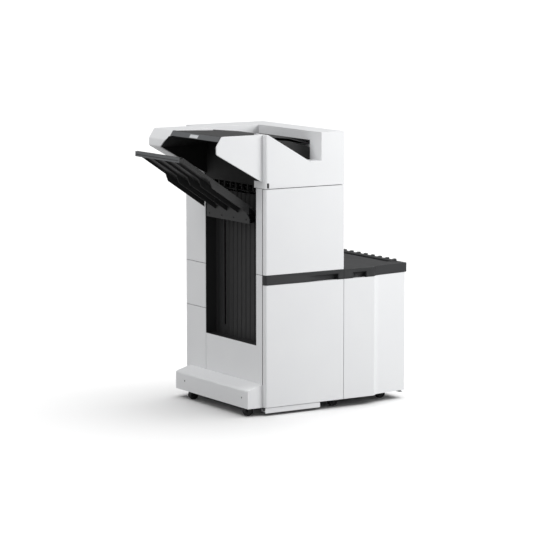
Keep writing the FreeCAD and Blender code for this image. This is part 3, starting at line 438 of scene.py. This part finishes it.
class FINISHER_PG_finish(bpy.types.PropertyGroup):
    edge: bpy.props.FloatProperty(
        name="Moulding edge", description="Radius on the edges of the thick white mouldings",
        default=1.2 * MM, unit="LENGTH")
    panel_edge: bpy.props.FloatProperty(
        name="Panel edge", description="Radius on the edges of the flat side panels",
        default=0.6 * MM, unit="LENGTH")
    tray_edge: bpy.props.FloatProperty(
        name="Tray edge", description="Radius on the edges of the trays and the recess",
        default=0.8 * MM, unit="LENGTH")
    band_edge: bpy.props.FloatProperty(
        name="Band edge", description="Radius on the edges of the dark band and the top",
        default=2.2 * MM, unit="LENGTH")
    hood_edge: bpy.props.FloatProperty(
        name="Hood edge", description="Radius on the edges of the casters' hoods",
        default=1.0 * MM, unit="LENGTH")
    roller_edge: bpy.props.FloatProperty(
        name="Roller edge", description="Radius on the ends of the rollers' sleeves",
        default=0.5 * MM, unit="LENGTH")
    steel_edge: bpy.props.FloatProperty(
        name="Steel edge", description="Radius on the edges of the boxes and brackets inside",
        default=0.4 * MM, unit="LENGTH")
    rib: bpy.props.FloatProperty(
        name="Rib thickness", description="Thickness of the stiffening ribs in the doors",
        default=2.0 * MM, unit="LENGTH")
    shaft: bpy.props.FloatProperty(
        name="Shaft radius", description="Reach of a feed roller's shaft about its axis",
        default=4.6 * MM, unit="LENGTH")
    white: bpy.props.StringProperty(
        name="White", description="sRGB hex colour of the white covers", default="#E2E3E4")
    white_shade: bpy.props.StringProperty(
        name="White shade", description="sRGB hex colour of the white covers' darker drift",
        default="#DEDFE1")
    black: bpy.props.StringProperty(
        name="Black", description="sRGB hex colour of the black mouldings", default="#18191A")
    dark: bpy.props.StringProperty(
        name="Dark grey", description="sRGB hex colour of the dark grey band", default="#222325")


# ---------------------------------------------------------------------- operators

class FINISHER_OT_covers(bpy.types.Operator):
    """Moulds the white outer covers with rounded edges"""
    bl_idname = "finisher.covers"
    bl_label = "White covers"

    def execute(self, context):
        finish = context.scene.finisher_finish
        for node in ("left_front_cover", "left_lower_cover", "left_rear_upper_cover",
                     "left_rear_middle_cover", "left_rear_lower_cover", "tower_rear_cover",
                     "cabinet_rear_cover", "tower_right_cover", "cabinet_right_cover",
                     "kick_strip"):
            soften(node, finish.panel_edge)
        for node in ("plinth_cover", "rear_top_cover", "right_top_cover", "front_wing",
                     "rear_wing"):
            soften(node, finish.edge)
        self.add_catch(finish.edge)
        return {"FINISHED"}

    def add_catch(self, edge):
        """Cuts the window for the upper door's catch and sets the catch behind it."""
        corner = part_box("front_top_cover")[0]
        inset, foot = 9.5 * MM, 2 * MM
        width, height, depth = 11 * MM, 22 * MM, 8 * MM
        # The cut starts this far in front of the cover, to break through its face.
        before = 1 * MM
        low = corner + Vector((inset, -before, foot))
        high = corner + Vector((inset + width, depth, foot + height))
        soften("front_top_cover", edge, (low, high))
        # The catch stands clear of the window's sides, back from the face, and runs on into
        # the cover behind.
        gap, sunk, buried = 0.5 * MM, 2 * MM, 4 * MM
        bm = bmesh.new()
        add_block(bm, low + Vector((gap, before + sunk, gap)),
                  high + Vector((-gap, buried, -gap)))
        catch = finish_piece("door_catch", bm, "black_plastic",
                             BODY_OF["front_top_cover"])
        round_over(catch, 0.8 * MM)


class FINISHER_OT_doors(bpy.types.Operator):
    """Moulds the three doors, with a grid of stiffening ribs behind each skin"""
    bl_idname = "finisher.doors"
    bl_label = "Doors"

    def execute(self, context):
        finish = context.scene.finisher_finish
        for node, columns, rows in (("upper_door", 4, 3), ("lower_door", 4, 5),
                                    ("right_door", 2, 5)):
            soften(node, finish.edge)
            self.add_ribs(node, columns, rows, finish.rib)
        return {"FINISHED"}

    def add_ribs(self, node, columns, rows, rib):
        """Stands upright ribs, and level ones a step lower, behind the flat of a door."""
        low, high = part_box(node)
        if node == "right_door":
            flat_part = 170 * MM
            high = Vector((low.x + flat_part, high.y, high.z))
        margin, step = 30 * MM, 1 * MM
        # The ribs start just inside the door's skin, so that they are joined to it.
        front, back = low.y + 2.4 * MM, low.y + 11 * MM
        bm = bmesh.new()
        for i in range(columns):
            x = low.x + margin + (high.x - low.x - 2 * margin) * i / (columns - 1)
            add_block(bm, (x, front, low.z + margin), (x + rib, back, high.z - margin))
        for i in range(rows):
            z = low.z + margin + (high.z - low.z - 2 * margin) * i / (rows - 1)
            add_block(bm, (low.x + margin, front, z), (high.x - margin, back - step, z + rib))
        piece = finish_piece(node + "_ribs", bm, "white_cover", BODY_OF[node])
        round_over(piece, 0.3 * MM)


class FINISHER_OT_screws(bpy.types.Operator):
    """Fits the cross-headed screws of the plinth and of the tray's carriage"""
    bl_idname = "finisher.screws"
    bl_label = "Screws"

    def execute(self, context):
        bm = bmesh.new()
        for low, high in islands("plinth_screws"):
            centre = (low + high) / 2
            screw_head(bm, (high.x, centre.y, centre.z), (-1, 0, 0),
                       (high.z - low.z) / 2, high.x - low.x)
        finish_piece("plinth_screw_heads", bm, "screw_steel",
                     BODY_OF["plinth_screws"], ["plinth_screws"])
        self.add_carriage_screws()
        return {"FINISHED"}

    def add_carriage_screws(self):
        """Sets a row of black screws along the outer face of the tray's carriage. They are
        steel by their slot and take the look of the black mouldings round them."""
        low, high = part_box("stack_tray_carriage")
        rise, sunk = 16 * MM, 0.2 * MM
        radius, height = 3.5 * MM, 2.2 * MM
        bm = bmesh.new()
        for share in (0.07, 0.36, 0.64, 0.93):
            y = low.y + (high.y - low.y) * share
            screw_head(bm, (low.x + sunk, y, low.z + rise), (-1, 0, 0), radius, height)
        finish_piece("carriage_screws", bm, "black_plastic",
                     BODY_OF["stack_tray_carriage"])


class FINISHER_OT_trays(bpy.types.Operator):
    """Moulds the trays, the recess and the exit housing, and lays the trays' end strips"""
    bl_idname = "finisher.trays"
    bl_label = "Trays and housing"

    def execute(self, context):
        edge = context.scene.finisher_finish.tray_edge
        for node in ("upper_tray", "stack_tray", "recess_liner", "stack_tray_carriage"):
            soften(node, edge)
        # The exit housing wears a duller black than the trays, darkened as painted shade of the
        # cavity it stands in.
        soften("exit_unit_cover", edge, finish="shade_darkened_black")
        # The grey end strips are painted highlight: the trays' black end lips, made lighter
        # where they face up into the light.
        self.lay_strip("upper_tray", "upper_end_strip", "painted_highlight_grey", foot=(0.3, 1, -21.5),
                       rise=(13.2, 0, 20.7), length=399, thickness=0.3)
        self.lay_strip("upper_tray", "tray_label", "label", foot=(1.6, 174, -19),
                       rise=(8.3, 0, 13), length=68, thickness=0.3)
        strip = self.lay_strip("stack_tray", "stack_end_strip", "painted_highlight_grey", foot=(1, 1, -24),
                               rise=(0.1, 0, 23), length=378, thickness=1.6)
        round_over(strip, 0.5 * MM)
        return {"FINISHED"}

    def lay_strip(self, node, name, finish, foot, rise, length, thickness):
        """Lays a strip across a tray's outer end. In millimetres, foot is its lower front
        corner from the upper outer corner of the tray's box, and rise runs up its face."""
        low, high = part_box(node)
        foot = Vector((low.x, low.y, high.z)) + Vector(foot) * MM
        rise = Vector(rise)
        out = rise.cross(Vector((0, -1, 0))).normalized() * thickness
        # A unit cube, held by its corner and stretched along the strip's three edges.
        axes = Matrix((rise, Vector((0, length, 0)), out)).transposed() * MM
        place = Matrix.Translation(foot) @ axes.to_4x4() @ Matrix.Translation((0.5, 0.5, 0.5))
        bm = bmesh.new()
        bmesh.ops.create_cube(bm, size=1, matrix=place)
        bmesh.ops.recalc_face_normals(bm, faces=bm.faces)
        return finish_piece(name, bm, finish, BODY_OF[node])


class FINISHER_OT_bands(bpy.types.Operator):
    """Moulds the dark band, the cabinet top and its entry comb"""
    bl_idname = "finisher.bands"
    bl_label = "Dark band and top"

    def execute(self, context):
        finish = context.scene.finisher_finish
        for node in ("grip_band", "cabinet_top_cover"):
            soften(node, finish.band_edge)
        soften("entry_guide", finish.tray_edge)
        return {"FINISHED"}


class FINISHER_OT_rollers(bpy.types.Operator):
    """Rounds the feed rollers, and parts their rubber sleeves from their steel shafts, darkened
    as painted shade
    """
    bl_idname = "finisher.rollers"
    bl_label = "Feed rollers"

    def execute(self, context):
        finish = context.scene.finisher_finish
        for node in ("lower_exit_roller", "lower_exit_idler", "upper_exit_roller",
                     "transport_roller"):
            piece = soften(node, finish.roller_edge)
            low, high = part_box(node)
            # The shafts' dark grey is painted shade: bright steel made dark where it lies in the
            # machine's shadow.
            paint_by_reach(piece, (low + high) / 2, finish.shaft, "carriage_grey",
                           "roller_rubber")
        return {"FINISHED"}


class FINISHER_OT_casters(bpy.types.Operator):
    """Turns the caster wheels with their rounded treads and moulds their hoods"""
    bl_idname = "finisher.casters"
    bl_label = "Casters"

    def execute(self, context):
        edge = context.scene.finisher_finish.hood_edge
        for node in frame["nodes"]:
            if node.startswith("caster") and node.endswith("_wheel"):
                self.add_wheel(node)
            elif node.startswith("caster") and node.endswith("_fork"):
                soften(node, edge)
        return {"FINISHED"}

    def add_wheel(self, node):
        """Turns one wheel with a dished web, a rounded tread and a groove round its middle."""
        low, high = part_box(node)
        centre = (low + high) / 2
        radius, half = (high.z - low.z) / 2, (high.y - low.y) / 2
        # Half the section, from the bore out over the hub, the web, the rim and the tread to
        # the groove, in shares of half the width and of the radius.
        outline = [(1, 0.2), (1, 0.32), (0.7, 0.36), (0.7, 0.72), (0.94, 0.77), (0.97, 0.88),
                   (0.85, 0.96), (0.6, 1), (0.2, 1), (0.1, 0.95)]
        web = 0.75
        face = [(along * half, out * radius) for along, out in outline]
        profile = face + [(-along, out) for along, out in reversed(face)]
        bm = bmesh.new()
        spin(bm, profile, centre, (0, 1, 0))
        piece = finish_piece(node + "_turned", bm, "caster_tyre", BODY_OF[node],
                             [node])
        paint_by_reach(piece, centre, web * radius, "caster_black", "caster_tyre")


class FINISHER_OT_steel(bpy.types.Operator):
    """Finishes the steel frame and the working parts inside"""
    bl_idname = "finisher.steel"
    bl_label = "Steel frame"

    def execute(self, context):
        edge = context.scene.finisher_finish.steel_edge
        for node in ("control_box", "docking_plate", "stapler", "door_foot_brackets"):
            soften(node, edge)
        for node in ("base_plate", "tower_front_frame", "tower_rear_frame",
                     "cabinet_front_frame", "cabinet_rear_frame", "top_plate", "cross_stays",
                     "door_hinge_pins", "lift_belts", "lift_shaft", "stapler_rods"):
            dress(node)
        # The compile tray wears the carriage's dark grey as painted shade of the interior,
        # though its slot is bright steel.
        dress("compile_tray", finish="carriage_grey")
        return {"FINISHED"}


class FINISHER_OT_stage(bpy.types.Operator):
    """Sets the floor, the soft studio light and the camera"""
    bl_idname = "finisher.stage"
    bl_label = "Stage"

    def execute(self, context):
        scene = context.scene
        settings = scene.finisher_stage
        scene.view_settings.view_transform = "Standard"
        far = 60
        camera = bpy.data.objects.new("camera", bpy.data.cameras.new("camera"))
        camera.location = settings.place
        camera.rotation_euler = (math.pi / 2 - settings.tilt, 0, -settings.turn)
        camera.data.lens = settings.lens
        camera.data.clip_end = far
        scene.collection.objects.link(camera)
        scene.camera = camera
        floor = self.add_floor(scene, far)
        self.add_world(scene, settings.ambient)
        self.add_lights(scene, settings, floor)
        return {"FINISHED"}

    def add_floor(self, scene, far):
        """Matt studio paper that looks whiter than the light that it throws back."""
        mesh = bpy.data.meshes.new("floor")
        bm = bmesh.new()
        bmesh.ops.create_grid(bm, x_segments=1, y_segments=1, size=far)
        bm.to_mesh(mesh)
        bm.free()
        floor = bpy.data.objects.new("floor", mesh)
        scene.collection.objects.link(floor)
        paper, tree, shader, place = new_material("pale studio paper", 0.95, ior=1.3)
        seen = add_node(tree, "ShaderNodeLightPath").outputs["Is Camera Ray"]
        add_node(tree, "ShaderNodeMixRGB", {
            "Fac": seen, "Color1": linear("#B0B0B0"), "Color2": linear("#FDFDFD")},
            shader.inputs["Base Color"])
        mesh.materials.append(paper)
        return floor

    def add_world(self, scene, ambient):
        """A studio that is plain white to look at and gently lit all round, a little more
        from above."""
        zenith, white = 1.15, 1.1
        world = bpy.data.worlds.new("studio")
        world.use_nodes = True
        tree = world.node_tree
        place = add_node(tree, "ShaderNodeTexCoord").outputs["Generated"]
        height = add_node(tree, "ShaderNodeSeparateXYZ", {"Vector": place}).outputs["Z"]
        sky = add_node(tree, "ShaderNodeMapRange", {
            "Value": height, "To Min": ambient, "To Max": zenith * ambient}).outputs["Result"]
        seen = add_node(tree, "ShaderNodeLightPath").outputs["Is Camera Ray"]
        background = tree.nodes["Background"]
        background.inputs["Color"].default_value = (1, 1, 1, 1)
        add_node(tree, "ShaderNodeMix", {"Factor": seen, "A": sky, "B": white},
                 background.inputs["Strength"])
        scene.world = world

    def add_lights(self, scene, settings, floor):
        """Lights the machine with two softboxes and an overhead silk, and the floor with a
        wash of its own."""
        key = self.add_softbox(scene, "key softbox", settings.key, size=3.0,
                               place=(2.9, -3.2, 3.0), aim=(0.1, -0.2, 0.8))
        fill = self.add_softbox(scene, "fill softbox", settings.fill, size=1.6,
                                place=(-3.2, -0.4, 2.8), aim=(-0.2, 0, 0.9))
        silk = self.add_silk(scene, "overhead silk", settings.overhead,
                             lean=(0, math.radians(-20), 0))
        kept_off = bpy.data.collections.new("kept off the floor")
        kept_off.objects.link(floor)
        kept_off.collection_objects[0].light_linking.link_state = "EXCLUDE"
        for light in (key, fill, silk):
            light.light_linking.receiver_collection = kept_off
        wash = self.add_silk(scene, "floor wash", settings.wash, lean=(0.34, 0, 1.65))
        lit = bpy.data.collections.new("lit by the floor wash")
        lit.objects.link(floor)
        wash.light_linking.receiver_collection = lit

    def add_softbox(self, scene, name, power, size, place, aim):
        """A square softbox that hangs at a place and is turned to a point."""
        light = bpy.data.lights.new(name, "AREA")
        light.energy = power
        light.size = size
        softbox = bpy.data.objects.new(name, light)
        softbox.location = place
        softbox.rotation_euler = (Vector(aim) - softbox.location).to_track_quat(
            "-Z", "Y").to_euler()
        scene.collection.objects.link(softbox)
        return softbox

    def add_silk(self, scene, name, strength, lean):
        """A broad soft light that comes from overhead."""
        light = bpy.data.lights.new(name, "SUN")
        light.energy = strength
        light.angle = math.radians(80)
        silk = bpy.data.objects.new(name, light)
        silk.rotation_euler = lean
        scene.collection.objects.link(silk)
        return silk


# -------------------------------------------------------------------- registration

STEPS = ("stage", "covers", "doors", "screws", "trays", "bands", "rollers", "casters", "steel")


class FINISHER_PT_panel(bpy.types.Panel):
    """Lists the steps that dress the finisher"""
    bl_idname = "FINISHER_PT_panel"
    bl_label = "Finisher"
    bl_space_type = "VIEW_3D"
    bl_region_type = "UI"
    bl_category = "Finisher"

    def draw(self, context):
        for step in STEPS:
            self.layout.operator("finisher." + step)


CLASSES = (FINISHER_PG_stage, FINISHER_PG_finish, FINISHER_OT_stage, FINISHER_OT_covers,
           FINISHER_OT_doors, FINISHER_OT_screws, FINISHER_OT_trays, FINISHER_OT_bands,
           FINISHER_OT_rollers, FINISHER_OT_casters, FINISHER_OT_steel, FINISHER_PT_panel)


def register():
    for cls in CLASSES:
        bpy.utils.register_class(cls)
    bpy.types.Scene.finisher_stage = bpy.props.PointerProperty(type=FINISHER_PG_stage)
    bpy.types.Scene.finisher_finish = bpy.props.PointerProperty(type=FINISHER_PG_finish)


def unregister():
    del bpy.types.Scene.finisher_finish
    del bpy.types.Scene.finisher_stage
    for cls in reversed(CLASSES):
        bpy.utils.unregister_class(cls)


def main():
    register()
    MATERIALS.update(make_materials(bpy.context.scene.finisher_finish))
    for step in STEPS:
        getattr(bpy.ops.finisher, step)()


if __name__ == "__main__":
    main()
